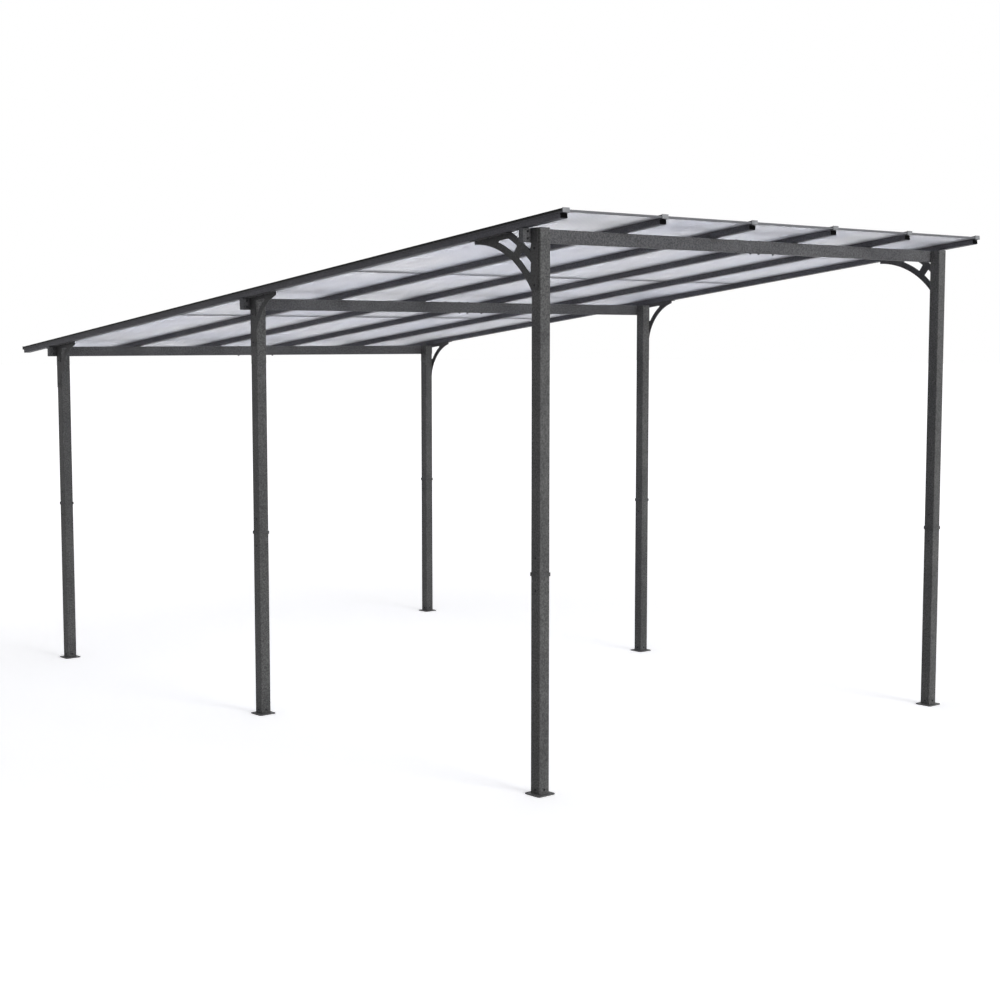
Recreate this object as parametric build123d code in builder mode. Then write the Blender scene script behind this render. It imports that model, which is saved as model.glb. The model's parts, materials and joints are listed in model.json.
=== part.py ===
"""Free-standing carport with a single-pitch roof of twin-wall sheets.

Six square tube posts stand in two rows of three.  Three cross beams are bolted
to the rear faces of the posts, six rafters lie on the beams and fall to the
rear, and twin-wall sheets lie on the rafters under cover profiles.  Pierced
gussets with curved edges brace the outer rafters against the posts.

Millimetres.  +X is to the right across the carport, +Y runs to the rear down
the slope and +Z is up.  The origin is on the ground under the middle of the
roof.
"""

import os
from math import cos, radians, sin, sqrt, tan

from build123d import *

# Posts
post_side = 58.0
post_wall = 2.0
post_corner = 4.0
post_spacing_x = 2880.0
front_height = 2465.0
lower_post_length = 975.0

# Splice collars round the joint between the lower and upper posts
collar_height = 16.0
collar_thickness = 3.0
collar_corner = 2.0
collar_clearance = 0.2

# Base plates
plate_side = 100.0
plate_thickness = 5.0
plate_corner = 12.0
anchor_hole_radius = 4.5
anchor_hole_spacing = 76.0
socket_height = 50.0
socket_wall = 2.0
socket_clearance = 0.2

# Cross beams on the rear faces of the posts
beam_height = 60.0
beam_depth = 28.0
beam_wall = 2.0
beam_corner = 3.0
beam_projection = 46.0

# Roof slope and rafters
roof_pitch = 6.7
rafter_count = 6
rafter_width = 40.0
rafter_height = 22.0
rafter_wall = 1.5
rafter_corner = 1.5
rafter_front_inset = 16.0
rafter_rear_inset = 16.0

# Twin-wall sheets, three to each bay
sheet_rows = 3
sheet_length = 1680.0
sheet_thickness = 6.0
sheet_clearance = 0.3
front_reach = 268.0
rear_reach = 354.0

# Joiners across the bays between one sheet and the next
joiner_web = 1.5
joiner_flange = 14.0
joiner_skin = 1.0

# Trims over the sheets' front and rear edges
trim_skin = 1.0
trim_lap = 14.0

# Cover profiles over the rafters: a bed under the sheets, a stem and a hood over them
cover_bed = 5.0
cover_stem = 6.0
cover_wall = 2.0
cover_hood = 1.5
capping_height = 7.0
capping_side = 4.5

# Plastic caps and plugs
end_cap_thickness = 3.0
end_cap_clearance = 0.2
plug_thickness = 3.0
plug_lip = 1.0
plug_depth = 15.0
plug_clearance = 0.2
tube_cap_thickness = 2.0

# Gussets under the outer rafters, on the outer faces of the posts
gusset_thickness = 4.0
gusset_leg = 42.0
gusset_flange = 34.0
gusset_window_corner = 4.0
gusset_beam_clearance = 0.3

# The front gussets: two curved bands, one inside the other, with a strut across
front_gusset_reach = 370.0
front_gusset_radius = 439.0
front_gusset_tip = 15.5
front_gusset_band = 31.5
front_gusset_slot = 38.5
front_gusset_top_band = 24.0
front_gusset_foot_inset = 4.0
front_gusset_strut_start = 33.5
front_gusset_strut_end = 38.4
front_gusset_flange_run = 245.0

# The middle and rear gussets: one curved band round an open window
rear_gusset_reach = 186.0
rear_gusset_radius = 275.0
rear_gusset_tip = 20.0
rear_gusset_band = 28.0
rear_gusset_top_band = 22.0
rear_gusset_leg_inset = 10.0
rear_gusset_window_drop = 96.0

# Angle cleats between the beams and the rafters
cleat_thickness = 3.0
cleat_width = 34.0
cleat_reach = 32.0
cleat_drop = 52.0
cleat_web_drop = 38.0

# Sizes that follow from the ones above
sin_pitch = sin(radians(roof_pitch))
cos_pitch = cos(radians(roof_pitch))
slope = tan(radians(roof_pitch))

joint_width = joiner_web + 2 * sheet_clearance
sheet_step = sheet_length + joint_width
roof_length = sheet_rows * sheet_length + (sheet_rows - 1) * joint_width
post_spacing_y = (roof_length - front_reach - rear_reach) * cos_pitch / 2
bed_top = rafter_height + cover_bed
sheet_base = bed_top + sheet_clearance
sheet_top = sheet_base + sheet_thickness
hood_base = sheet_top + sheet_clearance
capping_base = hood_base + cover_hood
roof_top = capping_base + capping_height

cover_front = -front_reach - trim_skin - sheet_clearance
cover_rear = cover_front + roof_length + 2 * (trim_skin + sheet_clearance)
tube_front = cover_front + rafter_front_inset
tube_rear = cover_rear - rafter_rear_inset
cap_front = cover_front - end_cap_clearance - end_cap_thickness
cap_rear = cover_rear + end_cap_clearance + end_cap_thickness

outer_face_x = (post_spacing_x + post_side) / 2
outer_rafter_x = outer_face_x + rafter_width / 2
rafter_pitch = 2 * outer_rafter_x / (rafter_count - 1)
rafter_x = [-outer_rafter_x + i * rafter_pitch for i in range(rafter_count)]
bay_x = [(left + right) / 2 for left, right in zip(rafter_x, rafter_x[1:])]
sheet_width = rafter_pitch - cover_stem - 2 * sheet_clearance
beam_half_length = outer_face_x + beam_projection
between_covers = rafter_pitch - rafter_width - 2 * sheet_clearance

# The rear top edge of each beam carries the rafters, and its Y is the row's seat
front_end_y = cap_front * cos_pitch + rafter_height * sin_pitch
rear_end_y = cap_rear * cos_pitch + roof_top * sin_pitch
front_seat_y = -(front_end_y + rear_end_y) / 2
row_names = ["front", "middle", "rear"]
row_seat_y = [front_seat_y + i * post_spacing_y for i in range(3)]
row_height = [front_height - i * post_spacing_y * slope for i in range(3)]
side_signs = {"left": -1, "right": 1}

# The plane of the rafters' undersides: local X across, local Y down the slope
roof_plane = Plane(
    origin=(0, front_seat_y, front_height), x_dir=(1, 0, 0), z_dir=(0, sin_pitch, cos_pitch)
)


def save(part, name):
    """Label one sub-part and write it to its own file."""
    part.label = name
    export_step(part, f"parts/{name}.step")


def underside_z(y):
    """Height of the rafters' undersides at a place along the carport."""
    return front_height - (y - front_seat_y) * slope


def slope_section(x, along, height):
    """Plane across the slope, for sections that run to the rear; local Y is the roof's normal."""
    return Plane(
        origin=roof_plane.from_local_coords((x, along, height)),
        x_dir=(-1, 0, 0),
        z_dir=(0, cos_pitch, -sin_pitch),
    )


def tube_profile(width, height, wall, corner):
    """Draw the section of a rounded rectangular tube in the current sketch."""
    RectangleRounded(width, height, corner)
    Rectangle(width - 2 * wall, height - 2 * wall, mode=Mode.SUBTRACT)


def chamfered_section(plane, width, height, corner):
    """A rectangle with small chamfers at its corners, centred on a plane."""
    with BuildSketch(plane) as section:
        Rectangle(width, height)
        chamfer(section.vertices(), corner)
    return section.sketch


def make_post_length(x, y, bottom, length):
    """One length of post tube, centred on x and y."""
    with BuildPart() as post:
        with BuildSketch(Plane.XY.offset(bottom)):
            with Locations((x, y)):
                tube_profile(post_side, post_side, post_wall, post_corner)
        extrude(amount=length)
    return post.part


def make_base_plate(x, y):
    """The foot of one post: a square plate with anchor holes and a socket inside the post."""
    socket_side = post_side - 2 * (post_wall + socket_clearance)
    with BuildPart() as plate:
        with BuildSketch(Plane.XY):
            with Locations((x, y)):
                RectangleRounded(plate_side, plate_side, plate_corner)
                with GridLocations(anchor_hole_spacing, anchor_hole_spacing, 2, 2):
                    Circle(anchor_hole_radius, mode=Mode.SUBTRACT)
        extrude(amount=plate_thickness)
        with BuildSketch(Plane.XY.offset(plate_thickness)):
            with Locations((x, y)):
                Rectangle(socket_side, socket_side)
                Rectangle(
                    socket_side - 2 * socket_wall, socket_side - 2 * socket_wall, mode=Mode.SUBTRACT
                )
        extrude(amount=socket_height)
    return plate.part


def make_collars(centres):
    """The splice collars, one round the joint of each post."""
    inner = post_side + 2 * collar_clearance
    outer = inner + 2 * collar_thickness
    with BuildPart() as collars:
        for x, y in centres:
            collar_base = Plane(origin=(x, y, lower_post_length - collar_height / 2))
            with BuildSketch(collar_base):
                add(chamfered_section(Plane.XY, outer, outer, collar_corner))
                Rectangle(inner, inner, mode=Mode.SUBTRACT)
            extrude(amount=collar_height)
    return collars.part


def make_beam(seat_y, top):
    """One cross beam, with its rear top edge on the row's seat."""
    with BuildPart() as beam:
        with BuildSketch(Plane.YZ.offset(-beam_half_length)):
            with Locations((seat_y - beam_depth / 2, top - beam_height / 2)):
                tube_profile(beam_depth, beam_height, beam_wall, beam_corner)
        extrude(amount=2 * beam_half_length)
    return beam.part


def make_rafter(x):
    """One rafter tube along the slope."""
    section = slope_section(x, tube_front, rafter_height / 2)
    hollow = (rafter_width - 2 * rafter_wall, rafter_height - 2 * rafter_wall)
    with BuildPart() as rafter:
        extrude(chamfered_section(section, rafter_width, rafter_height, rafter_corner), tube_rear - tube_front)
        with BuildSketch(section):
            Rectangle(*hollow)
        extrude(amount=tube_rear - tube_front, mode=Mode.SUBTRACT)
    return rafter.part


def make_sheets(row):
    """One row of sheets, a sheet in each bay."""
    middle = -front_reach + row * sheet_step + sheet_length / 2
    with BuildPart() as sheets:
        with BuildSketch(roof_plane.offset(sheet_base)):
            with Locations(*[(x, middle) for x in bay_x]):
                Rectangle(sheet_width, sheet_length)
        extrude(amount=sheet_thickness)
    return sheets.part


def bay_section(bay, along, run):
    """Plane along the slope at the left end of a run across one bay, at the sheets' undersides."""
    return Plane(
        origin=roof_plane.from_local_coords((bay - run / 2, along, sheet_base)),
        x_dir=(0, cos_pitch, -sin_pitch),
        z_dir=(1, 0, 0),
    )


def make_joiners():
    """H-section joiners between one row of sheets and the next, cut to each bay."""
    mouth = sheet_thickness + 2 * sheet_clearance
    lap = (joiner_flange - joiner_web) / 2
    with BuildPart() as joiners:
        for row in range(1, sheet_rows):
            along = -front_reach + row * sheet_step - joint_width / 2
            for bay in bay_x:
                with BuildSketch(bay_section(bay, along, between_covers)):
                    with Locations((0, sheet_thickness / 2)):
                        Rectangle(joiner_flange, mouth + 2 * joiner_skin)
                        with GridLocations(joiner_web + lap, 0, 2, 1):
                            Rectangle(lap, mouth, mode=Mode.SUBTRACT)
                extrude(amount=between_covers)
    return joiners.part


def make_edge_trims():
    """U-section trims over the sheets' front and rear edges, cut to each bay."""
    mouth = sheet_thickness + 2 * sheet_clearance
    depth = trim_skin + sheet_clearance + trim_lap
    with BuildPart() as trims:
        for edge, inward in ((cover_front, 1), (cover_rear, -1)):
            for bay in bay_x:
                with BuildSketch(bay_section(bay, edge, between_covers)):
                    with Locations((inward * depth / 2, sheet_thickness / 2)):
                        Rectangle(depth, mouth + 2 * trim_skin)
                    with Locations((inward * (depth + trim_skin) / 2, sheet_thickness / 2)):
                        Rectangle(depth - trim_skin, mouth, mode=Mode.SUBTRACT)
                extrude(amount=between_covers)
    return trims.part


def make_covers():
    """Clamping profiles on the rafters: a bed, a stem between the sheets and a flat hood."""
    mouth = hood_base - bed_top
    with BuildPart() as covers:
        for x in rafter_x:
            with BuildSketch(slope_section(x, cover_front, bed_top)):
                with Locations((0, -cover_bed / 2)):
                    Rectangle(rafter_width, cover_bed)
                with Locations((0, mouth / 2)):
                    Rectangle(cover_stem, mouth)
                with Locations((0, mouth + cover_hood / 2)):
                    Rectangle(rafter_width, cover_hood)
                if abs(x) == outer_rafter_x:
                    outward = -x / abs(x)
                    with Locations((outward * (rafter_width - cover_wall) / 2, mouth / 2)):
                        Rectangle(cover_wall, mouth)
            extrude(amount=cover_rear - cover_front)
    return covers.part


def make_cappings():
    """Crowned strips snapped on top of the covers."""
    with BuildPart() as cappings:
        for x in rafter_x:
            with BuildSketch(slope_section(x, cover_front, capping_base)):
                with BuildLine():
                    Polyline(
                        (rafter_width / 2, capping_side),
                        (rafter_width / 2, 0),
                        (-rafter_width / 2, 0),
                        (-rafter_width / 2, capping_side),
                    )
                    ThreePointArc(
                        (-rafter_width / 2, capping_side),
                        (0, capping_height),
                        (rafter_width / 2, capping_side),
                    )
                make_face()
            extrude(amount=cover_rear - cover_front)
    return cappings.part


def make_cover_end_caps():
    """Plastic plates over both ends of each cover and capping."""
    with BuildPart() as caps:
        for x in rafter_x:
            for start in (cap_front, cap_rear - end_cap_thickness):
                with BuildSketch(slope_section(x, start, (rafter_height + roof_top) / 2)):
                    Rectangle(rafter_width, roof_top - rafter_height)
                extrude(amount=end_cap_thickness)
    return caps.part


def make_rafter_plugs():
    """Plugs in both ends of each rafter tube: a flange over the end and a body inside it."""
    body_width = rafter_width - 2 * (rafter_wall + plug_clearance)
    body_height = rafter_height - 2 * (rafter_wall + plug_clearance)
    flange_width = rafter_width - 2 * plug_lip
    flange_height = rafter_height - 2 * plug_lip
    with BuildPart() as plugs:
        for x in rafter_x:
            for flange, body in (
                (tube_front - plug_thickness, tube_front),
                (tube_rear, tube_rear - plug_depth),
            ):
                face = slope_section(x, flange, rafter_height / 2)
                extrude(chamfered_section(face, flange_width, flange_height, rafter_corner), plug_thickness)
                with BuildSketch(slope_section(x, body, rafter_height / 2)):
                    Rectangle(body_width, body_height)
                extrude(amount=plug_depth)
    return plugs.part


def make_tube_caps():
    """Flat caps on the post tops and on the ends of the beams."""
    with BuildPart() as caps:
        for seat_y, top in zip(row_seat_y, row_height):
            for sign in side_signs.values():
                over_post = (sign * post_spacing_x / 2, seat_y - beam_depth - post_side / 2, top)
                post_end = Plane(origin=over_post)
                extrude(chamfered_section(post_end, post_side, post_side, post_corner), tube_cap_thickness)
                beam_end = Plane(
                    origin=(sign * beam_half_length, seat_y - beam_depth / 2, top - beam_height / 2),
                    x_dir=(0, 1, 0),
                    z_dir=(sign, 0, 0),
                )
                extrude(chamfered_section(beam_end, beam_depth, beam_height, beam_corner), tube_cap_thickness)
    return caps.part


def make_cleats():
    """Angle cleats behind the beams: a leg on the beam, a leg under the rafter and a web."""
    with BuildPart() as cleats:
        for seat_y, top in zip(row_seat_y, row_height):
            leg_y = seat_y + cleat_thickness
            tip_y = seat_y + cleat_reach
            for x in rafter_x:
                with BuildSketch(Plane.YZ.offset(x - cleat_width / 2)):
                    Polygon(
                        (seat_y, underside_z(seat_y)),
                        (tip_y, underside_z(tip_y)),
                        (tip_y, underside_z(tip_y) - cleat_thickness),
                        (leg_y, underside_z(leg_y) - cleat_thickness),
                        (leg_y, top - cleat_drop),
                        (seat_y, top - cleat_drop),
                        align=None,
                    )
                extrude(amount=cleat_width)
                with BuildSketch(Plane.YZ.offset(x - cleat_thickness / 2)):
                    Polygon(
                        (leg_y, underside_z(leg_y) - cleat_thickness),
                        (tip_y, underside_z(tip_y) - cleat_thickness),
                        (leg_y, top - cleat_web_drop),
                        align=None,
                    )
                extrude(amount=cleat_thickness)
    return cleats.part


def make_gusset_flange(sign, start_y, end_y):
    """The flange that turns outward from a gusset, flat against the rafter's underside."""
    start = (start_y - front_seat_y) / cos_pitch
    end = (end_y - front_seat_y) / cos_pitch
    with BuildPart() as flange:
        with BuildSketch(roof_plane.offset(-gusset_thickness)):
            with Locations((sign * (outer_face_x + gusset_flange / 2), (start + end) / 2)):
                Rectangle(gusset_flange, end - start)
        extrude(amount=gusset_thickness)
    return flange.part


def make_front_gusset(sign):
    """The large gusset behind a front post: two curved bands with windows between them."""
    post_rear = front_seat_y - beam_depth
    leg_rear = post_rear - gusset_beam_clearance
    leg_front = post_rear - gusset_leg
    tip_y = post_rear + front_gusset_reach
    centre = (tip_y, underside_z(tip_y) - front_gusset_tip - front_gusset_radius)
    slot_inner = front_gusset_radius + front_gusset_band
    slot_outer = slot_inner + front_gusset_slot
    top_radius = slot_outer + front_gusset_band
    foot_run = front_gusset_reach + front_gusset_foot_inset
    leg_bottom = centre[1] + sqrt(front_gusset_radius**2 - foot_run**2)
    far = 2 * top_radius

    def ray(angle):
        """A point far out from the arcs' centre, with the angle taken from straight up."""
        return (centre[0] - far * sin(radians(angle)), centre[1] + far * cos(radians(angle)))

    def band_line(y):
        """Height of the top band's lower edge."""
        return underside_z(y) - front_gusset_top_band

    with BuildSketch(Plane.YZ) as slot:
        with Locations(centre):
            Circle(slot_outer)
            Circle(slot_inner, mode=Mode.SUBTRACT)
        Polygon(
            (leg_rear, centre[1]),
            (tip_y, centre[1]),
            (tip_y, band_line(tip_y)),
            (leg_rear, band_line(leg_rear)),
            align=None,
            mode=Mode.INTERSECT,
        )
        Polygon(
            centre,
            ray(front_gusset_strut_start),
            ray(front_gusset_strut_end),
            align=None,
            mode=Mode.SUBTRACT,
        )
        fillet(slot.vertices(), gusset_window_corner)

    with BuildPart() as gusset:
        with BuildSketch(Plane.YZ.offset(sign * outer_face_x)):
            with Locations(centre):
                Circle(top_radius)
                Circle(front_gusset_radius, mode=Mode.SUBTRACT)
            Polygon(
                (leg_rear, leg_bottom),
                (tip_y, leg_bottom),
                (tip_y, underside_z(tip_y)),
                (leg_rear, underside_z(leg_rear)),
                align=None,
                mode=Mode.INTERSECT,
            )
            Polygon(
                (leg_front, leg_bottom),
                (leg_rear, leg_bottom),
                (leg_rear, front_height),
                (leg_front, front_height),
                align=None,
            )
            with Locations(centre):
                Circle(front_gusset_radius, mode=Mode.SUBTRACT)
            add(slot.sketch_local, mode=Mode.SUBTRACT)
        extrude(amount=sign * gusset_thickness)
        add(make_gusset_flange(sign, tip_y - front_gusset_flange_run, tip_y))
    return gusset.part


def make_rear_gusset(sign, seat_y, top):
    """The smaller gusset before a middle or rear post: one curved band round a window."""
    post_front = seat_y - beam_depth - post_side
    leg_front = post_front + rear_gusset_leg_inset
    leg_rear = leg_front + gusset_leg
    tip_y = post_front - rear_gusset_reach
    tip_z = underside_z(tip_y) - rear_gusset_tip
    centre_y = leg_front - rear_gusset_radius
    leg_bottom = tip_z - sqrt(rear_gusset_radius**2 - (tip_y - centre_y) ** 2)
    centre = (centre_y, leg_bottom)
    window_bottom = top - rear_gusset_window_drop

    def band_line(y):
        """Height of the top band's lower edge."""
        return underside_z(y) - rear_gusset_top_band

    with BuildSketch(Plane.YZ) as window:
        Polygon(
            (tip_y, window_bottom),
            (leg_front, window_bottom),
            (leg_front, band_line(leg_front)),
            (tip_y, band_line(tip_y)),
            align=None,
        )
        with Locations(centre):
            Circle(rear_gusset_radius + rear_gusset_band, mode=Mode.SUBTRACT)
        fillet(window.vertices(), gusset_window_corner)

    with BuildPart() as gusset:
        with BuildSketch(Plane.YZ.offset(sign * outer_face_x)):
            Polygon(
                (tip_y, leg_bottom),
                (leg_rear, leg_bottom),
                (leg_rear, underside_z(leg_rear)),
                (tip_y, underside_z(tip_y)),
                align=None,
            )
            with Locations(centre):
                Circle(rear_gusset_radius, mode=Mode.SUBTRACT)
            add(window.sketch_local, mode=Mode.SUBTRACT)
        extrude(amount=sign * gusset_thickness)
        add(make_gusset_flange(sign, tip_y, leg_rear))
    return gusset.part


os.makedirs("parts", exist_ok=True)

post_centres = []
for row, seat_y, top in zip(row_names, row_seat_y, row_height):
    post_y = seat_y - beam_depth - post_side / 2
    for side, sign in side_signs.items():
        post_x = sign * post_spacing_x / 2
        post_centres.append((post_x, post_y))
        save(make_base_plate(post_x, post_y), f"{row}_{side}_base_plate")
        save(
            make_post_length(post_x, post_y, plate_thickness, lower_post_length - plate_thickness),
            f"{row}_{side}_lower_post",
        )
        save(
            make_post_length(post_x, post_y, lower_post_length, top - lower_post_length),
            f"{row}_{side}_upper_post",
        )
        gusset = make_front_gusset(sign) if row == "front" else make_rear_gusset(sign, seat_y, top)
        save(gusset, f"{row}_{side}_gusset")
    save(make_beam(seat_y, top), f"{row}_beam")

for number, x in enumerate(rafter_x, start=1):
    save(make_rafter(x), f"rafter_{number}")

for number, row in enumerate(row_names):
    save(make_sheets(number), f"{row}_roof_sheets")

save(make_collars(post_centres), "splice_collars")
save(make_joiners(), "sheet_joiners")
save(make_edge_trims(), "sheet_edge_trims")
save(make_covers(), "rafter_covers")
save(make_cappings(), "cover_cappings")
save(make_cover_end_caps(), "cover_end_caps")
save(make_rafter_plugs(), "rafter_plugs")
save(make_tube_caps(), "tube_caps")
save(make_cleats(), "rafter_cleats")
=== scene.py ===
"""Looks of a free-standing carport with a twin-wall sheet roof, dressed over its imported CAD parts.

The CAD nodes keep their places and sizes.  Every one of them gets a finish, the plain sheets are
replaced by twin-wall ones with their ribs, and the bolts and screws are added.
"""

import json
import logging
import math
from abc import ABC, abstractmethod
from collections.abc import Sequence
from dataclasses import dataclass, field
from enum import Enum

import bmesh
import bpy
from mathutils import Matrix, Vector


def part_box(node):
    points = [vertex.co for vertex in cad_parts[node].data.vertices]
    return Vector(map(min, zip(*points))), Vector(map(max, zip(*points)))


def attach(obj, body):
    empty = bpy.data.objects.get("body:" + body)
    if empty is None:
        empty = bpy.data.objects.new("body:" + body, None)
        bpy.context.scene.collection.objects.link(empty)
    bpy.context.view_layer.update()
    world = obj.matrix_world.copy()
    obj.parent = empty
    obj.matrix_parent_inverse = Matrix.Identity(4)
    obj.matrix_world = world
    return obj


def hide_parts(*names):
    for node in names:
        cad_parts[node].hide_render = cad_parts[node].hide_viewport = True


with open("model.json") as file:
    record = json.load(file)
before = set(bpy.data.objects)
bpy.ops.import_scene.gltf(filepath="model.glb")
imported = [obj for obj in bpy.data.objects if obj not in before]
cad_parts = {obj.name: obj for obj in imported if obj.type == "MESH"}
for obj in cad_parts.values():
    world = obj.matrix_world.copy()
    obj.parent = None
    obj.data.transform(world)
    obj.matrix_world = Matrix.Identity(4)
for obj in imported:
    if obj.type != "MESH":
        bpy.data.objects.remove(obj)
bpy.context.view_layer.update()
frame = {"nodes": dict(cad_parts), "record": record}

log = logging.getLogger("carport")

MM = 0.001
ROWS = ("front", "middle", "rear")
SIDES = {"left": -1.0, "right": 1.0}
ALONG_X = Vector((1, 0, 0))
ALONG_Y = Vector((0, 1, 0))
UP = Vector((0, 0, 1))

Point = tuple[float, float, float]


def linear(code: str) -> tuple[float, float, float, float]:
    """Turn an sRGB hex value into a linear colour.

    Args:
        code: Six hex digits, with or without a leading hash sign.

    Returns:
        Linear red, green and blue, and an alpha of one.
    """
    digits = code.lstrip("#")
    parts = [int(digits[i : i + 2], 16) / 255 for i in (0, 2, 4)]
    red, green, blue = [
        c / 12.92 if c <= 0.04045 else ((c + 0.055) / 1.055) ** 2.4 for c in parts
    ]
    return (red, green, blue, 1.0)


def per_metre(size_mm: float) -> float:
    """Scale of a texture whose features are about this many millimetres across."""
    return 1.0 / (size_mm * MM)


def add_node(
    tree: bpy.types.NodeTree,
    kind: str,
    settings: dict[str | int, object] | None = None,
    links: dict[str | int, bpy.types.NodeSocket] | None = None,
) -> bpy.types.Node:
    """Add one node, with its settings and its links.

    Args:
        tree: The node tree to add to.
        kind: Blender's name for the kind of node.
        settings: Values for the node's input sockets, by name or number, or for its properties.
        links: Output sockets that feed the node's input sockets, by name or number.

    Returns:
        The new node.
    """
    node = tree.nodes.new(kind)
    for key, value in (settings or {}).items():
        if isinstance(key, int) or key in node.inputs:
            node.inputs[key].default_value = value
        else:
            setattr(node, key, value)
    for key, source in (links or {}).items():
        tree.links.new(source, node.inputs[key])
    return node


def new_material(name: str) -> tuple[bpy.types.Material, bpy.types.NodeTree]:
    """Start a material with an empty node tree.

    Args:
        name: The material's name.

    Returns:
        The material and its node tree.
    """
    material = bpy.data.materials.new(name)
    material.use_nodes = True
    material.node_tree.nodes.clear()
    return material, material.node_tree


def blend_colours(
    tree: bpy.types.NodeTree,
    factor: bpy.types.NodeSocket,
    colours: tuple[str, str],
    band: tuple[float, float],
) -> bpy.types.NodeSocket:
    """Run from one colour to another as a factor rises.

    Args:
        tree: The node tree to add to.
        factor: The socket that carries the factor.
        colours: The first and the last colour, as sRGB hex values.
        band: The factors at which the first colour ends and the last one starts.

    Returns:
        The socket that carries the blended colour.
    """
    ramp = add_node(tree, "ShaderNodeValToRGB", links={"Fac": factor})
    for element, colour, place in zip(ramp.color_ramp.elements, colours, band):
        element.position = place
        element.color = linear(colour)
    return ramp.outputs["Color"]


@dataclass(frozen=True)
class RoofSlope:
    """The plane of the rafters' undersides, which falls to the rear."""

    seat: float
    height: float
    pitch: float = math.radians(6.7)

    def matrix(self) -> Matrix:
        """Place what is drawn on the slope.

        Returns:
            Frame with X across the carport, Y down the slope and Z along the roof's normal.
        """
        c = math.cos(self.pitch)
        s = math.sin(self.pitch)
        return Matrix(
            ((1, 0, 0, 0), (0, c, s, self.seat), (0, -s, c, self.height), (0, 0, 0, 1))
        )

    def normal(self) -> Vector:
        """Direction square to the slope, pointing up."""
        return Vector((0.0, math.sin(self.pitch), math.cos(self.pitch)))

    def along(self, y: float) -> float:
        """Distance down the slope, in millimetres, of a place along the carport in metres."""
        return (y - self.seat) / math.cos(self.pitch) / MM


@dataclass(frozen=True, kw_only=True)
class Finish(ABC):
    """What one material is and how its surface was made."""

    name: str

    @abstractmethod
    def material(self) -> bpy.types.Material:
        """Build the finish as one procedural material."""


@dataclass(frozen=True, kw_only=True)
class PowderCoat(Finish):
    """Polyester powder coat baked on steel, with a fine hammered texture.

    The powder flows into small blisters as it cures, so the eye sees a satin grey with lighter
    and darker flecks where light falls across the surface, and a calmer grey in the shade.
    """

    dark: str = "#3A3A3A"
    light: str = "#5C5C5B"
    drift: tuple[str, str] = ("#E4E4E6", "#FFFFFF")
    fleck_mm: float = 7.5
    blister_mm: float = 5.0
    drift_mm: float = 260.0
    roughness: float = 0.52
    gloss: float = 0.16
    relief_mm: float = 0.9

    def material(self) -> bpy.types.Material:
        """Build the coat.

        Returns:
            The coat's material.
        """
        material, tree = new_material(self.name)
        place = add_node(tree, "ShaderNodeTexCoord").outputs["Object"]
        fleck = add_node(
            tree,
            "ShaderNodeTexNoise",
            {"Scale": per_metre(self.fleck_mm), "Detail": 3.0, "Roughness": 0.62},
            {"Vector": place},
        )
        drift = add_node(
            tree,
            "ShaderNodeTexNoise",
            {"Scale": per_metre(self.drift_mm), "Detail": 2.0},
            {"Vector": place},
        )
        colours = (self.dark, self.light)
        colour = add_node(
            tree,
            "ShaderNodeMix",
            {"data_type": "RGBA", "blend_type": "MULTIPLY", 0: 1.0},
            {
                6: blend_colours(tree, fleck.outputs["Fac"], colours, (0.36, 0.66)),
                7: blend_colours(tree, drift.outputs["Fac"], self.drift, (0.35, 0.65)),
            },
        )
        blisters = add_node(
            tree,
            "ShaderNodeTexVoronoi",
            {"Scale": per_metre(self.blister_mm), "feature": "SMOOTH_F1", "Smoothness": 0.6},
            {"Vector": place},
        )
        sheen = add_node(
            tree,
            "ShaderNodeMapRange",
            {"To Min": self.roughness - 0.08, "To Max": self.roughness + 0.1},
            {"Value": fleck.outputs["Fac"]},
        )
        relief = add_node(
            tree,
            "ShaderNodeBump",
            {"Strength": 0.8, "Distance": self.relief_mm * MM},
            {"Height": blisters.outputs["Distance"]},
        )
        coat = add_node(
            tree,
            "ShaderNodeBsdfPrincipled",
            {"IOR": 1.5, "Specular IOR Level": self.gloss},
            {
                "Base Color": colour.outputs[2],
                "Roughness": sheen.outputs["Result"],
                "Normal": relief.outputs["Normal"],
            },
        )
        add_node(tree, "ShaderNodeOutputMaterial", links={"Surface": coat.outputs["BSDF"]})
        return material


@dataclass(frozen=True, kw_only=True)
class GasketedCover(PowderCoat):
    """Coated cover profile whose lip, under the capping, holds a strip of black rubber.

    The rubber takes nearly all the light, so the eye sees a thin black line along the roof's edge.
    """

    slope: RoofSlope
    lip_mm: float = 28.5
    rubber: str = "#070708"

    def material(self) -> bpy.types.Material:
        """Build the coat, then lay the rubber over what is higher than the lip.

        Returns:
            The cover's material.
        """
        material = super().material()
        tree = material.node_tree
        coat = next(n for n in tree.nodes if n.type == "BSDF_PRINCIPLED")
        painted = coat.inputs["Base Color"].links[0].from_socket
        place = add_node(tree, "ShaderNodeTexCoord").outputs["Object"]
        normal = self.slope.normal()
        rise = add_node(
            tree, "ShaderNodeVectorMath", {"operation": "DOT_PRODUCT", 1: normal}, {0: place}
        )
        seat = Vector((0.0, self.slope.seat, self.slope.height))
        above = add_node(
            tree,
            "ShaderNodeMath",
            {"operation": "GREATER_THAN", 1: normal.dot(seat) + self.lip_mm * MM},
            {0: rise.outputs["Value"]},
        )
        colour = add_node(
            tree,
            "ShaderNodeMix",
            {"data_type": "RGBA", 7: linear(self.rubber)},
            {0: above.outputs["Value"], 6: painted},
        )
        tree.links.new(colour.outputs[2], coat.inputs["Base Color"])
        return material


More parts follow.
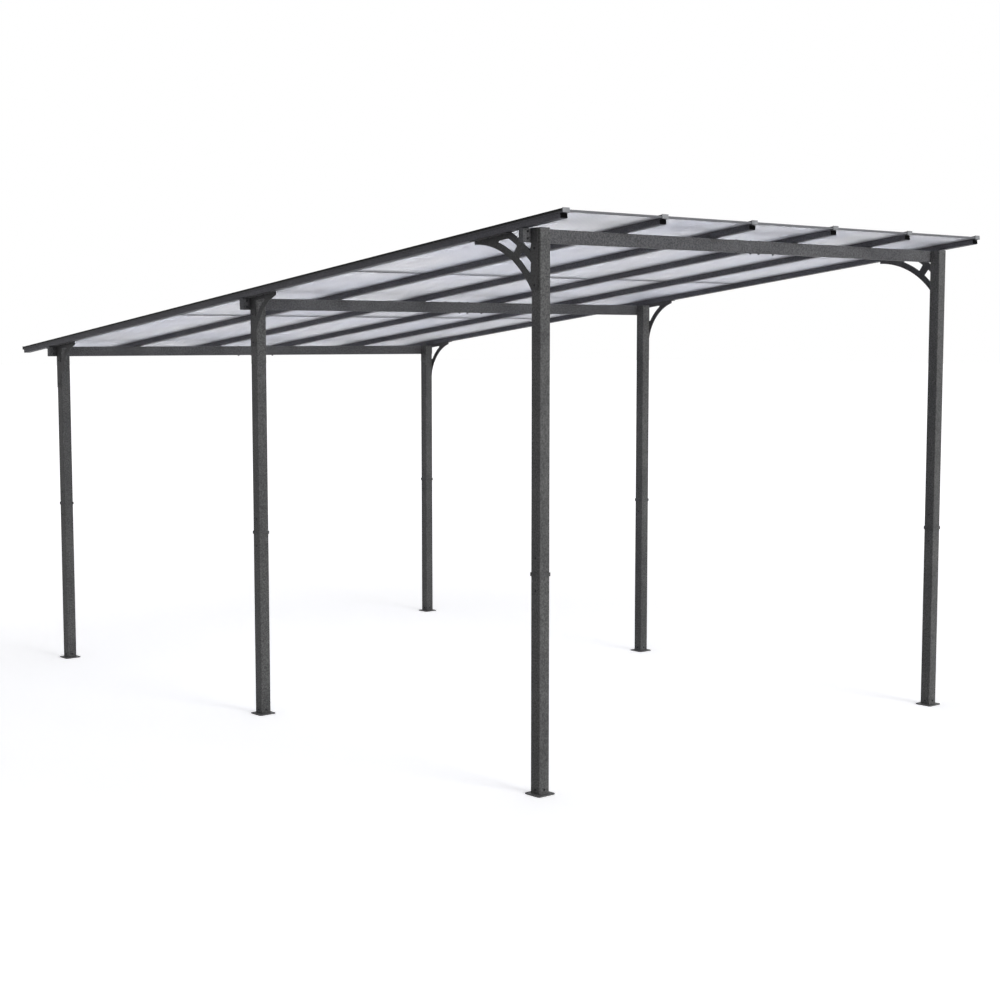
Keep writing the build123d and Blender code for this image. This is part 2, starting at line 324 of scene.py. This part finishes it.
@dataclass(frozen=True, kw_only=True)
class ExtrudedAluminium(Finish):
    """Aluminium pushed through a die and brushed, left bare or tinted.

    The die leaves fine lines along the run, so highlights stretch across them.
    """

    dark: str = "#58595C"
    light: str = "#6C6D71"
    line_mm: float = 2.0
    line_stretch: float = 50.0
    roughness: float = 0.55
    metallic: float = 0.35

    def material(self) -> bpy.types.Material:
        """Build the metal.

        Returns:
            The metal's material.
        """
        material, tree = new_material(self.name)
        place = add_node(tree, "ShaderNodeTexCoord").outputs["Object"]
        stretched = add_node(
            tree,
            "ShaderNodeMapping",
            {"Scale": (1.0 / self.line_stretch, 1.0, 1.0)},
            {"Vector": place},
        )
        lines = add_node(
            tree,
            "ShaderNodeTexNoise",
            {"Scale": per_metre(self.line_mm), "Detail": 2.0},
            {"Vector": stretched.outputs["Vector"]},
        )
        colours = (self.dark, self.light)
        sheen = add_node(
            tree,
            "ShaderNodeMapRange",
            {"To Min": self.roughness - 0.06, "To Max": self.roughness + 0.08},
            {"Value": lines.outputs["Fac"]},
        )
        metal = add_node(
            tree,
            "ShaderNodeBsdfPrincipled",
            {"Metallic": self.metallic},
            {
                "Base Color": blend_colours(tree, lines.outputs["Fac"], colours, (0.3, 0.7)),
                "Roughness": sheen.outputs["Result"],
            },
        )
        add_node(tree, "ShaderNodeOutputMaterial", links={"Surface": metal.outputs["BSDF"]})
        return material


@dataclass(frozen=True, kw_only=True)
class MouldedPlastic(Finish):
    """Weather-proof plastic, moulded or extruded, with a fine spark-eroded grain.

    The grain spreads the light, so the eye sees a flat, slightly chalky surface.
    """

    dark: str
    light: str
    grain_mm: float = 1.6
    cloud_mm: float = 45.0
    cloud_band: tuple[float, float] = (0.35, 0.65)
    roughness: float = 0.6
    gloss: float = 0.2
    relief_mm: float = 0.08

    def material(self) -> bpy.types.Material:
        """Build the plastic.

        Returns:
            The plastic's material.
        """
        material, tree = new_material(self.name)
        place = add_node(tree, "ShaderNodeTexCoord").outputs["Object"]
        cloud = add_node(
            tree,
            "ShaderNodeTexNoise",
            {"Scale": per_metre(self.cloud_mm), "Detail": 3.0},
            {"Vector": place},
        )
        grain = add_node(
            tree,
            "ShaderNodeTexNoise",
            {"Scale": per_metre(self.grain_mm), "Detail": 1.0},
            {"Vector": place},
        )
        relief = add_node(
            tree,
            "ShaderNodeBump",
            {"Strength": 0.4, "Distance": self.relief_mm * MM},
            {"Height": grain.outputs["Fac"]},
        )
        sheen = add_node(
            tree,
            "ShaderNodeMapRange",
            {"To Min": self.roughness - 0.07, "To Max": self.roughness + 0.09},
            {"Value": cloud.outputs["Fac"]},
        )
        colours = (self.dark, self.light)
        plastic = add_node(
            tree,
            "ShaderNodeBsdfPrincipled",
            {"IOR": 1.49, "Specular IOR Level": self.gloss},
            {
                "Base Color": blend_colours(
                    tree, cloud.outputs["Fac"], colours, self.cloud_band
                ),
                "Roughness": sheen.outputs["Result"],
                "Normal": relief.outputs["Normal"],
            },
        )
        add_node(tree, "ShaderNodeOutputMaterial", links={"Surface": plastic.outputs["BSDF"]})
        return material


@dataclass(frozen=True, kw_only=True)
class TwoToneCaps(MouldedPlastic):
    """Moulded plastic caps, pale grey at the front of the carport and dark at the rear."""

    rear: tuple[str, str] = ("#1E1F21", "#2A2B2D")

    def material(self) -> bpy.types.Material:
        """Build the pale plastic, then mix in the dark one behind the middle of the carport.

        Returns:
            The caps' material.
        """
        material = super().material()
        tree = material.node_tree
        plastic = next(n for n in tree.nodes if n.type == "BSDF_PRINCIPLED")
        pale = plastic.inputs["Base Color"].links[0].from_socket
        place = add_node(tree, "ShaderNodeTexCoord").outputs["Object"]
        split = add_node(tree, "ShaderNodeSeparateXYZ", links={"Vector": place})
        behind = add_node(
            tree,
            "ShaderNodeMath",
            {"operation": "GREATER_THAN", 1: 0.0},
            {0: split.outputs["Y"]},
        )
        cloud = add_node(
            tree,
            "ShaderNodeTexNoise",
            {"Scale": per_metre(self.cloud_mm)},
            {"Vector": place},
        )
        dark = blend_colours(tree, cloud.outputs["Fac"], self.rear, self.cloud_band)
        colour = add_node(
            tree,
            "ShaderNodeMix",
            {"data_type": "RGBA"},
            {0: behind.outputs["Value"], 6: pale, 7: dark},
        )
        tree.links.new(colour.outputs[2], plastic.inputs["Base Color"])
        return material


@dataclass(frozen=True, kw_only=True)
class TwinWallPolycarbonate(Finish):
    """Extruded twin-wall polycarbonate with a light opal tint.

    The opal tint scatters daylight on its way through both skins and the ribs, so the eye sees a
    pale, cool grey sheet with soft clouds and faint lines along its flutes, and what lies behind
    it only as a soft shadow.  The walls are too thin to bend light, so the IOR is close to air's.
    Real flutes are 6 mm wide; the lines are drawn further apart, so that they still show at the
    distance of the photograph.
    """

    tint: tuple[str, str] = ("#F0F2FA", "#FDFDFF")
    line: str = "#E0E3ED"
    cloud_mm: float = 520.0
    cloud_stretch: Point = (1.3, 0.6, 1.0)
    cloud_band: tuple[float, float] = (0.36, 0.62)
    flute_mm: float = 26.0
    roughness: float = 0.7
    gloss: float = 0.28
    passing: float = 0.76
    opacity: float = 0.72
    opacity_spread: float = 0.02
    line_opacity: float = 0.06

    def material(self) -> bpy.types.Material:
        """Build the sheet's plastic.

        Returns:
            The sheet's material.
        """
        material, tree = new_material(self.name)
        place = add_node(tree, "ShaderNodeTexCoord").outputs["Object"]
        drawn = add_node(
            tree, "ShaderNodeMapping", {"Scale": self.cloud_stretch}, {"Vector": place}
        )
        cloud = add_node(
            tree,
            "ShaderNodeTexNoise",
            {"Scale": per_metre(self.cloud_mm), "Detail": 2.0, "Roughness": 0.5},
            {"Vector": drawn.outputs["Vector"]},
        )
        # A band texture repeats every 10 / pi of its own units.
        flutes = add_node(
            tree,
            "ShaderNodeTexWave",
            {
                "wave_type": "BANDS",
                "bands_direction": "X",
                "Scale": per_metre(self.flute_mm) * math.pi / 10,
                "Distortion": 0.0,
            },
            {"Vector": place},
        )
        lines = ("#FFFFFF", self.line)
        colour = add_node(
            tree,
            "ShaderNodeMix",
            {"data_type": "RGBA", "blend_type": "MULTIPLY", 0: 1.0},
            {
                6: blend_colours(tree, cloud.outputs["Fac"], self.tint, self.cloud_band),
                7: blend_colours(tree, flutes.outputs["Fac"], lines, (0.5, 1.0)),
            },
        )
        sheen = add_node(
            tree,
            "ShaderNodeMapRange",
            {"To Min": self.roughness - 0.06, "To Max": self.roughness + 0.1},
            {"Value": cloud.outputs["Fac"]},
        )
        haze = add_node(
            tree,
            "ShaderNodeMapRange",
            {
                "From Min": self.cloud_band[1],
                "From Max": self.cloud_band[0],
                "To Min": self.opacity - self.opacity_spread / 2,
                "To Max": self.opacity + self.opacity_spread / 2,
            },
            {"Value": cloud.outputs["Fac"]},
        )
        cover = add_node(
            tree,
            "ShaderNodeMath",
            {"operation": "MULTIPLY_ADD", 1: self.line_opacity},
            {0: flutes.outputs["Fac"], 2: haze.outputs["Result"]},
        )
        plastic = add_node(
            tree,
            "ShaderNodeBsdfPrincipled",
            {"IOR": 1.1, "Specular IOR Level": self.gloss, "Transmission Weight": self.passing},
            {
                "Base Color": colour.outputs[2],
                "Roughness": sheen.outputs["Result"],
                "Alpha": cover.outputs["Value"],
            },
        )
        add_node(tree, "ShaderNodeOutputMaterial", links={"Surface": plastic.outputs["BSDF"]})
        return material


@dataclass(frozen=True, kw_only=True)
class BlackenedSteel(Finish):
    """Bolt steel, zinc plated and passivated black: dark, with worn, brighter high spots."""

    dark: str = "#17181A"
    worn: str = "#34363A"
    wear_mm: float = 4.0
    roughness: float = 0.4
    metallic: float = 0.7

    def material(self) -> bpy.types.Material:
        """Build the plated steel.

        Returns:
            The steel's material.
        """
        material, tree = new_material(self.name)
        place = add_node(tree, "ShaderNodeTexCoord").outputs["Object"]
        wear = add_node(
            tree,
            "ShaderNodeTexNoise",
            {"Scale": per_metre(self.wear_mm), "Detail": 4.0},
            {"Vector": place},
        )
        sheen = add_node(
            tree,
            "ShaderNodeMapRange",
            {"To Min": self.roughness + 0.1, "To Max": self.roughness - 0.1},
            {"Value": wear.outputs["Fac"]},
        )
        colours = (self.dark, self.worn)
        steel = add_node(
            tree,
            "ShaderNodeBsdfPrincipled",
            {"Metallic": self.metallic},
            {
                "Base Color": blend_colours(tree, wear.outputs["Fac"], colours, (0.45, 0.7)),
                "Roughness": sheen.outputs["Result"],
            },
        )
        add_node(tree, "ShaderNodeOutputMaterial", links={"Surface": steel.outputs["BSDF"]})
        return material


@dataclass(frozen=True)
class Ring:
    """One ring of a turned form: its radius and height in millimetres, round or six-sided."""

    radius: float
    height: float
    hexagon: bool = False


class Head(Enum):
    """The heads of the bolts and screws, as rings from the seat up."""

    HEX = (
        Ring(8.0, 0.0),
        Ring(8.0, 1.3),
        Ring(7.7, 1.6),
        Ring(6.4, 1.6, True),
        Ring(6.4, 5.9, True),
        Ring(5.8, 6.7),
        Ring(0.0, 6.9),
    )
    BUTTON = (
        Ring(5.4, 0.0),
        Ring(5.3, 0.9),
        Ring(4.7, 2.0),
        Ring(3.6, 2.8),
        Ring(2.3, 3.2),
        Ring(2.0, 3.1, True),
        Ring(2.0, 1.7, True),
        Ring(0.0, 1.5),
    )
    CAP = (
        Ring(5.4, 0.0),
        Ring(5.4, 4.0),
        Ring(4.9, 4.8),
        Ring(2.4, 5.0),
        Ring(2.2, 4.9, True),
        Ring(2.2, 2.6, True),
        Ring(0.0, 2.4),
    )
    PAN = (
        Ring(4.6, 0.0),
        Ring(4.6, 0.9),
        Ring(4.0, 2.2),
        Ring(2.8, 2.9),
        Ring(1.6, 3.0),
        Ring(1.4, 2.9, True),
        Ring(1.4, 1.6, True),
        Ring(0.0, 1.4),
    )


class Draft:
    """A mesh drawn in millimetres in one local frame, then placed in the row frame."""

    FACETS = 24
    SMOOTH = math.radians(35.0)

    def __init__(self, place: Matrix | None = None) -> None:
        """Start an empty mesh.

        Args:
            place: The local frame in metres, or None for the row frame itself.
        """
        self.place = place or Matrix.Identity(4)
        self.mesh = bmesh.new()

    def quad(self, corners: Sequence[Point]) -> None:
        """Add a flat face through corners in millimetres."""
        self.mesh.faces.new([self.mesh.verts.new(Vector(c) * MM) for c in corners])

    def turned(self, at: Point | Vector, axis: Vector, rings: Sequence[Ring]) -> None:
        """Add a turned form.

        Args:
            at: The middle of its seat in millimetres.
            axis: The direction in which it rises from its seat.
            rings: Its rings from the seat up; a radius of nought closes it to a point.
        """
        seat = Vector(at)
        turn = axis.normalized().to_track_quat("Z", "Y")
        below: list[bmesh.types.BMVert] = []
        for ring in rings:
            if ring.radius == 0:
                tip = self.mesh.verts.new((seat + turn @ (UP * ring.height)) * MM)
                for i in range(self.FACETS):
                    self.mesh.faces.new((below[i], below[(i + 1) % self.FACETS], tip))
                continue
            level = []
            for i in range(self.FACETS):
                angle = 2 * math.pi * i / self.FACETS
                reach = ring.radius
                if ring.hexagon:
                    off = (angle + math.pi / 6) % (math.pi / 3) - math.pi / 6
                    reach = ring.radius / math.cos(off)
                spot = Vector((reach * math.cos(angle), reach * math.sin(angle), ring.height))
                level.append(self.mesh.verts.new((seat + turn @ spot) * MM))
            if below:
                for i in range(self.FACETS):
                    j = (i + 1) % self.FACETS
                    self.mesh.faces.new((below[i], below[j], level[j], level[i]))
            below = level

    def piece(self, name: str, material: bpy.types.Material) -> bpy.types.Object:
        """Turn the drawing into a piece of the carport.

        Args:
            name: The piece's name.
            material: Its finish.

        Returns:
            The new object, which rides with the carport.
        """
        data = bpy.data.meshes.new(name)
        self.mesh.transform(self.place)
        self.mesh.normal_update()
        self.mesh.to_mesh(data)
        self.mesh.free()
        data.polygons.foreach_set("use_smooth", [True] * len(data.polygons))
        data.set_sharp_from_angle(angle=self.SMOOTH)
        data.materials.append(material)
        made = bpy.data.objects.new(name, data)
        bpy.context.scene.collection.objects.link(made)
        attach(made, "root")
        log.info("%s: %d faces", name, len(data.polygons))
        return made


@dataclass
class Dressing:
    """The finishes of the CAD nodes, by the record's material slots."""

    finishes: dict[str, Finish]
    made: dict[str, bpy.types.Material] = field(default_factory=dict)

    def finish(self, slot: str) -> bpy.types.Material:
        """Find the material of one slot, which is built when it is first asked for.

        Args:
            slot: The slot's name in the record.

        Returns:
            The slot's material.
        """
        if slot not in self.made:
            self.made[slot] = self.finishes[slot].material()
        return self.made[slot]

    def dress(self) -> None:
        """Give every CAD node the finish of its slot."""
        for part in frame["record"]["subparts"]:
            node = frame["nodes"][part["node"]]
            node.data.materials.clear()
            node.data.materials.append(self.finish(part["material_slot"]))


@dataclass
class RoofSheets:
    """Twin-wall sheets, five bays by three rows, each with two skins and its ribs.

    Sizes are in millimetres.  Real ribs are about 6 mm apart; these are twice that, which keeps
    the mesh small and looks the same at the distance of the photograph.
    """

    slope: RoofSlope
    skin_finish: bpy.types.Material
    rib_finish: bpy.types.Material
    bays: int = 5
    bay_pitch: float = 595.6
    width: float = 589.0
    length: float = 1680.0
    step: float = 1682.1
    base: float = 27.3
    thickness: float = 6.0
    rib_pitch: float = 12.0
    reach: float = 268.0

    def build(self) -> list[bpy.types.Object]:
        """Build one piece for each row, in place of the plain sheets.

        Returns:
            The pieces, from the front row to the rear one.
        """
        made = []
        for number, row in enumerate(ROWS):
            draft = Draft(self.slope.matrix())
            start = -self.reach + number * self.step
            for bay in range(self.bays):
                middle = (bay - (self.bays - 1) / 2) * self.bay_pitch
                self.sheet(draft, middle - self.width / 2, start)
            piece = draft.piece(f"{row}_twin_wall_sheets", self.skin_finish)
            piece.data.materials.append(self.rib_finish)
            for face in piece.data.polygons:
                face.material_index = 1 if abs(face.normal.x) > 0.9 else 0
            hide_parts(f"{row}_roof_sheets")
            made.append(piece)
        return made

    def sheet(self, draft: Draft, left: float, start: float) -> None:
        """Draw one sheet: its skins as single faces and its ribs between them.

        Args:
            draft: The mesh to draw in, in the slope's frame.
            left: The sheet's left edge.
            start: Its front edge.
        """
        right = left + self.width
        end = start + self.length
        low = self.base
        top = low + self.thickness
        for z in (low, top):
            draft.quad([(left, start, z), (right, start, z), (right, end, z), (left, end, z)])
        ribs = int(self.width // self.rib_pitch)
        first = left + (self.width - ribs * self.rib_pitch) / 2
        for i in range(ribs + 1):
            x = min(max(first + i * self.rib_pitch, left), right)
            draft.quad([(x, start, low), (x, end, low), (x, end, top), (x, start, top)])


@dataclass
class Fasteners:
    """The carport's bolts and screws.

    Sizes and places are in millimetres, measured on the posts, beams and gussets that carry them.
    """

    slope: RoofSlope
    finish: bpy.types.Material
    post: float = 58.0
    post_x: float = 1440.0
    splice_height: float = 975.0
    splice_bolt_drop: float = 72.0
    foot_bolt_height: float = 24.5
    gusset_thickness: float = 4.0
    front_leg_in: float = 21.0
    rear_leg_in: float = 27.0
    front_leg_drops: tuple[float, float] = (86.0, 243.0)
    rear_leg_drops: tuple[float, float] = (84.0, 230.0)
    front_gusset_reach: float = 370.0
    rear_gusset_reach: float = 186.0
    front_flange_screws: tuple[float, ...] = (30.0, 110.0, 200.0)
    rear_flange_screws: tuple[float, ...] = (25.0, 85.0, 150.0)
    flange_screw_out: float = 22.0
    beam_depth: float = 28.0
    beam_height: float = 60.0
    beam_end_drops: tuple[float, float] = (14.0, 45.0)
    beam_end_out: float = 21.0
    beam_post_in: float = 12.0
    beam_splice_bolts: tuple[float, ...] = (-138.0, -34.0, 26.0, 132.0)
    rafter_x: tuple[float, ...] = (-1489.0, -893.4, -297.8, 297.8, 893.4, 1489.0)
    cleat_sides: tuple[float, float] = (-9.5, 9.5)
    cleat_thickness: float = 3.0
    cleat_bolt_drop: float = 34.0
    cleat_screw_back: float = 20.0

    def seats(self) -> list[tuple[float, float]]:
        """Find the beams.

        Returns:
            Y of each beam's rear face and height of its top.
        """
        boxes = [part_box(f"{row}_beam")[1] for row in ROWS]
        return [(high.y / MM, high.z / MM) for high in boxes]

    def post_centres(self) -> list[tuple[float, float]]:
        """Find the posts.

        Returns:
            X and Y of the middle of each post, row by row, the left one first.
        """
        back = self.beam_depth + self.post / 2
        return [
            (sign * self.post_x, seat - back)
            for seat, _ in self.seats()
            for sign in SIDES.values()
        ]

    def foot_bolts(self) -> bpy.types.Object:
        """Draw the bolts through the feet of the posts, one on each face.

        Returns:
            The bolts as one piece.
        """
        draft = Draft()
        for x, y in self.post_centres():
            centre = Vector((x, y, self.foot_bolt_height))
            for way in (ALONG_X, -ALONG_X, ALONG_Y, -ALONG_Y):
                draft.turned(centre + way * self.post / 2, way, Head.BUTTON.value)
        return draft.piece("foot_bolts", self.finish)

    def splice_bolts(self) -> bpy.types.Object:
        """Draw the bolts above and below each post's splice, on the outer and inner faces.

        Returns:
            The bolts as one piece.
        """
        draft = Draft()
        for x, y in self.post_centres():
            for rise in (-self.splice_bolt_drop, self.splice_bolt_drop):
                centre = Vector((x, y, self.splice_height + rise))
                for way in (ALONG_X, -ALONG_X):
                    draft.turned(centre + way * self.post / 2, way, Head.PAN.value)
        return draft.piece("splice_bolts", self.finish)

    def gusset_bolts(self) -> bpy.types.Object:
        """Draw the two bolts through each gusset's leg.

        Returns:
            The bolts as one piece.
        """
        draft = Draft()
        outer = self.post_x + self.post / 2 + self.gusset_thickness
        for row, (seat, top) in zip(ROWS, self.seats()):
            post_rear = seat - self.beam_depth
            if row == "front":
                y = post_rear - self.front_leg_in
                drops = self.front_leg_drops
            else:
                y = post_rear - self.rear_leg_in
                drops = self.rear_leg_drops
            for sign in SIDES.values():
                for drop in drops:
                    draft.turned((sign * outer, y, top - drop), ALONG_X * sign, Head.BUTTON.value)
        return draft.piece("gusset_bolts", self.finish)

    def gusset_screws(self) -> bpy.types.Object:
        """Draw the screws up through the gussets' flanges into the outer rafters.

        Returns:
            The screws as one piece.
        """
        draft = Draft(self.slope.matrix())
        x = self.post_x + self.post / 2 + self.flange_screw_out
        for row, (seat, _) in zip(ROWS, self.seats()):
            post_rear = seat - self.beam_depth
            if row == "front":
                tip = post_rear + self.front_gusset_reach
                places = [tip - back for back in self.front_flange_screws]
            else:
                tip = post_rear - self.post - self.rear_gusset_reach
                places = [tip + back for back in self.rear_flange_screws]
            for sign in SIDES.values():
                for y in places:
                    at = (sign * x, self.slope.along(y * MM), -self.gusset_thickness)
                    draft.turned(at, -UP, Head.PAN.value)
        return draft.piece("gusset_screws", self.finish)

    def beam_bolts(self) -> bpy.types.Object:
        """Draw the bolts through the beams' ends, into the posts and at the middle splice.

        Returns:
            The bolts as one piece.
        """
        draft = Draft()
        end_x = self.post_x + self.post / 2 + self.beam_end_out
        inner_x = self.post_x - self.beam_post_in
        for seat, top in self.seats():
            front = seat - self.beam_depth
            middle = seat - self.beam_depth / 2
            low = top - self.beam_height
            for sign in SIDES.values():
                for drop in self.beam_end_drops:
                    draft.turned((sign * end_x, front, top - drop), -ALONG_Y, Head.BUTTON.value)
                    draft.turned((sign * inner_x, seat, top - drop), ALONG_Y, Head.HEX.value)
            for x in self.beam_splice_bolts:
                draft.turned((x, middle, top), UP, Head.BUTTON.value)
                draft.turned((x, middle, low), -UP, Head.CAP.value)
        return draft.piece("beam_bolts", self.finish)

    def cleat_bolts(self) -> bpy.types.Object:
        """Draw the bolts through the cleats' legs into the beams.

        Returns:
            The bolts as one piece.
        """
        draft = Draft()
        for seat, top in self.seats():
            for x in self.rafter_x:
                for side in self.cleat_sides:
                    at = (x + side, seat + self.cleat_thickness, top - self.cleat_bolt_drop)
                    draft.turned(at, ALONG_Y, Head.PAN.value)
        return draft.piece("cleat_bolts", self.finish)

    def cleat_screws(self) -> bpy.types.Object:
        """Draw the screws up through the cleats into the rafters.

        Returns:
            The screws as one piece.
        """
        draft = Draft(self.slope.matrix())
        for seat, _ in self.seats():
            y = self.slope.along((seat + self.cleat_screw_back) * MM)
            for x in self.rafter_x:
                for side in self.cleat_sides:
                    draft.turned((x + side, y, -self.cleat_thickness), -UP, Head.PAN.value)
        return draft.piece("cleat_screws", self.finish)

    def build(self) -> list[bpy.types.Object]:
        """Build every kind of fastener.

        Returns:
            One piece for each kind.
        """
        return [
            self.foot_bolts(),
            self.splice_bolts(),
            self.gusset_bolts(),
            self.gusset_screws(),
            self.beam_bolts(),
            self.cleat_bolts(),
            self.cleat_screws(),
        ]


@dataclass(frozen=True)
class Lamp:
    """One soft square lamp: its place and what it faces in metres, its side and its watts."""

    name: str
    at: Point
    target: Point
    side: float
    watts: float

    def hang(self) -> bpy.types.Object:
        """Hang the lamp where only its light is seen.

        Returns:
            The lamp.
        """
        data = bpy.data.lights.new(self.name, "AREA")
        data.shape = "SQUARE"
        data.size = self.side
        data.energy = self.watts
        made = bpy.data.objects.new(self.name, data)
        facing = Vector(self.target) - Vector(self.at)
        made.location = self.at
        made.rotation_euler = facing.to_track_quat("-Z", "Y").to_euler()
        made.visible_camera = False
        made.visible_glossy = False
        bpy.context.scene.collection.objects.link(made)
        return made


@dataclass
class Studio:
    """The pale floor, the white surroundings, the soft lamps and the camera, in metres."""

    seat: float
    ambient: float = 0.42
    ambient_tint: str = "#FAFAFF"
    floor_side: float = 240.0
    floor_drop: float = 0.2 * MM
    floor_paint: str = "#F2F2F2"
    floor_glow: tuple[float, float] = (0.43, 0.82)
    floor_glow_from: tuple[float, float] = (3.0, 11.0)
    lamps: tuple[Lamp, ...] = (
        Lamp("front_lamp", (2.0, -27.0, 4.5), (0.0, 0.0, 1.2), 10.0, 6300.0),
        Lamp("top_lamp", (0.5, 1.0, 9.0), (0.0, 0.0, 0.0), 7.0, 110.0),
    )
    camera_x: float = -6.48259
    camera_behind_seat: float = 5.582043
    camera_height: float = 1.98738
    yaw: float = math.radians(41.0439)
    pitch: float = math.radians(-5.2592)
    focal_px: float = 1733.66
    frame_px: float = 1000.0

    def seen(self, tree: bpy.types.NodeTree) -> bpy.types.NodeSocket:
        """Tell the rays that see the surroundings directly, in gloss or through a surface.

        Args:
            tree: The node tree to add to.

        Returns:
            A socket that is one for those rays and nought for the others.
        """
        path = add_node(tree, "ShaderNodeLightPath")
        either = add_node(
            tree,
            "ShaderNodeMath",
            {"operation": "MAXIMUM"},
            {0: path.outputs["Is Camera Ray"], 1: path.outputs["Is Glossy Ray"]},
        )
        return add_node(
            tree,
            "ShaderNodeMath",
            {"operation": "MAXIMUM"},
            {0: either.outputs["Value"], 1: path.outputs["Is Transmission Ray"]},
        ).outputs["Value"]

    def surroundings(self) -> None:
        """Light the scene evenly, and show plain white wherever a ray sees past the carport."""
        world = bpy.data.worlds.new("white_surroundings")
        world.use_nodes = True
        world.node_tree.nodes.clear()
        tree = world.node_tree
        light = add_node(
            tree,
            "ShaderNodeBackground",
            {"Color": linear(self.ambient_tint), "Strength": self.ambient},
        )
        white = add_node(tree, "ShaderNodeBackground", {"Color": linear("#FFFFFF")})
        mix = add_node(
            tree,
            "ShaderNodeMixShader",
            links={0: self.seen(tree), 1: light.outputs[0], 2: white.outputs[0]},
        )
        add_node(tree, "ShaderNodeOutputWorld", links={"Surface": mix.outputs[0]})
        bpy.context.scene.world = world

    def floor_material(self) -> bpy.types.Material:
        """Build the floor's paint, whose glow rises with distance so that it meets the white.

        Returns:
            The paint's material.
        """
        material, tree = new_material("pale_floor")
        paint = add_node(tree, "ShaderNodeBsdfDiffuse", {"Color": linear(self.floor_paint)})
        place = add_node(tree, "ShaderNodeTexCoord").outputs["Object"]
        away = add_node(tree, "ShaderNodeVectorMath", {"operation": "LENGTH"}, {0: place})
        level = add_node(
            tree,
            "ShaderNodeMapRange",
            {
                "From Min": self.floor_glow_from[0],
                "From Max": self.floor_glow_from[1],
                "To Min": self.floor_glow[0],
                "To Max": self.floor_glow[1],
            },
            {"Value": away.outputs["Value"]},
        )
        strength = add_node(
            tree,
            "ShaderNodeMath",
            {"operation": "MULTIPLY"},
            {0: self.seen(tree), 1: level.outputs["Result"]},
        )
        glow = add_node(
            tree,
            "ShaderNodeEmission",
            {"Color": linear("#FFFFFF")},
            {"Strength": strength.outputs["Value"]},
        )
        both = add_node(
            tree, "ShaderNodeAddShader", links={0: paint.outputs[0], 1: glow.outputs[0]}
        )
        add_node(tree, "ShaderNodeOutputMaterial", links={"Surface": both.outputs[0]})
        return material

    def floor(self) -> bpy.types.Object:
        """Lay a pale floor that runs to the horizon and keeps the carport's soft shadow.

        Returns:
            The floor.
        """
        half = self.floor_side / 2
        corners = [(-half, -half, 0), (half, -half, 0), (half, half, 0), (-half, half, 0)]
        data = bpy.data.meshes.new("studio_floor")
        data.from_pydata(corners, [], [(0, 1, 2, 3)])
        data.materials.append(self.floor_material())
        made = bpy.data.objects.new("studio_floor", data)
        made.location.z = -self.floor_drop
        bpy.context.scene.collection.objects.link(made)
        return made

    def camera(self) -> bpy.types.Object:
        """Stand the camera where the photograph was taken from.

        Returns:
            The camera.
        """
        data = bpy.data.cameras.new("photo_camera")
        data.sensor_width = 36.0
        data.lens = self.focal_px / self.frame_px * data.sensor_width
        data.clip_start = 0.05
        data.clip_end = 500.0
        made = bpy.data.objects.new("photo_camera", data)
        level = math.cos(self.pitch)
        look = Vector(
            (math.sin(self.yaw) * level, math.cos(self.yaw) * level, math.sin(self.pitch))
        )
        made.location = (self.camera_x, self.seat - self.camera_behind_seat, self.camera_height)
        made.rotation_euler = look.to_track_quat("-Z", "Y").to_euler()
        bpy.context.scene.collection.objects.link(made)
        bpy.context.scene.camera = made
        return made

    def build(self) -> None:
        """Set up the whole studio."""
        self.surroundings()
        self.floor()
        for lamp in self.lamps:
            lamp.hang()
        self.camera()
        bpy.context.scene.view_settings.view_transform = "Standard"
        log.info("studio ready")


def finishes(slope: RoofSlope) -> dict[str, Finish]:
    """List the finish of each material slot in the record.

    Args:
        slope: The roof's slope, which the covers' rubber follows.

    Returns:
        The finishes by the names of their slots.
    """
    coats = {
        "post": ("#3A3A3A", "#5C5C5B"),
        # The plates' grey is their own coat with painted light added: it is drawn lighter than the
        # posts' so that their top faces read as lit from above.
        "plate": ("#4C4C4C", "#6E6E6E"),
        "collar": ("#3B3B3B", "#575757"),
        "gusset": ("#363636", "#494949"),
        "beam": ("#383839", "#585859"),
        # The rafters' grey is their own coat; its faint blue cast is a painted reflection of the
        # pale sheets above them.
        "rafter": ("#404044", "#545458"),
        "cleat": ("#37383A", "#4A4B4D"),
        "tube_cap": ("#3C3D3F", "#565759"),
    }
    listed: dict[str, Finish] = {
        f"{part}_steel": PowderCoat(name=f"powder_coated_{part}", dark=dark, light=light)
        for part, (dark, light) in coats.items()
    }
    listed["cover_aluminium"] = GasketedCover(
        name="powder_coated_cover", dark="#3A3A3D", light="#4D4D50", slope=slope
    )
    listed["trim_aluminium"] = ExtrudedAluminium(name="extruded_trim")
    listed["sheet_polycarbonate"] = TwinWallPolycarbonate(name="twin_wall_polycarbonate")
    listed["joiner_plastic"] = MouldedPlastic(
        name="grey_joiner_plastic", dark="#353639", light="#424347"
    )
    listed["capping_plastic"] = MouldedPlastic(
        name="black_capping_plastic", dark="#070708", light="#0E0E0F", roughness=0.75, gloss=0.06
    )
    listed["end_cap_plastic"] = TwoToneCaps(
        name="grey_cap_plastic", dark="#6F7072", light="#808183"
    )
    listed["plug_plastic"] = MouldedPlastic(
        name="black_plug_plastic", dark="#030303", light="#070707", roughness=0.8, gloss=0.05
    )
    return listed


def main() -> None:
    """Dress the nodes, build the sheets and the fasteners, and set up the studio."""
    logging.basicConfig(level=logging.INFO, format="%(message)s")
    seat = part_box("front_beam")[1]
    slope = RoofSlope(seat.y, seat.z)
    dressing = Dressing(finishes(slope))
    dressing.dress()
    # Each rib lets nearly all the light past, because a low view goes through many of them.
    ribs = TwinWallPolycarbonate(
        name="twin_wall_polycarbonate_rib", opacity=0.08, line_opacity=0.0
    )
    RoofSheets(slope, dressing.finish("sheet_polycarbonate"), ribs.material()).build()
    Fasteners(slope, BlackenedSteel(name="blackened_bolt_steel").material()).build()
    Studio(seat.y).build()


if __name__ == "__main__":
    main()
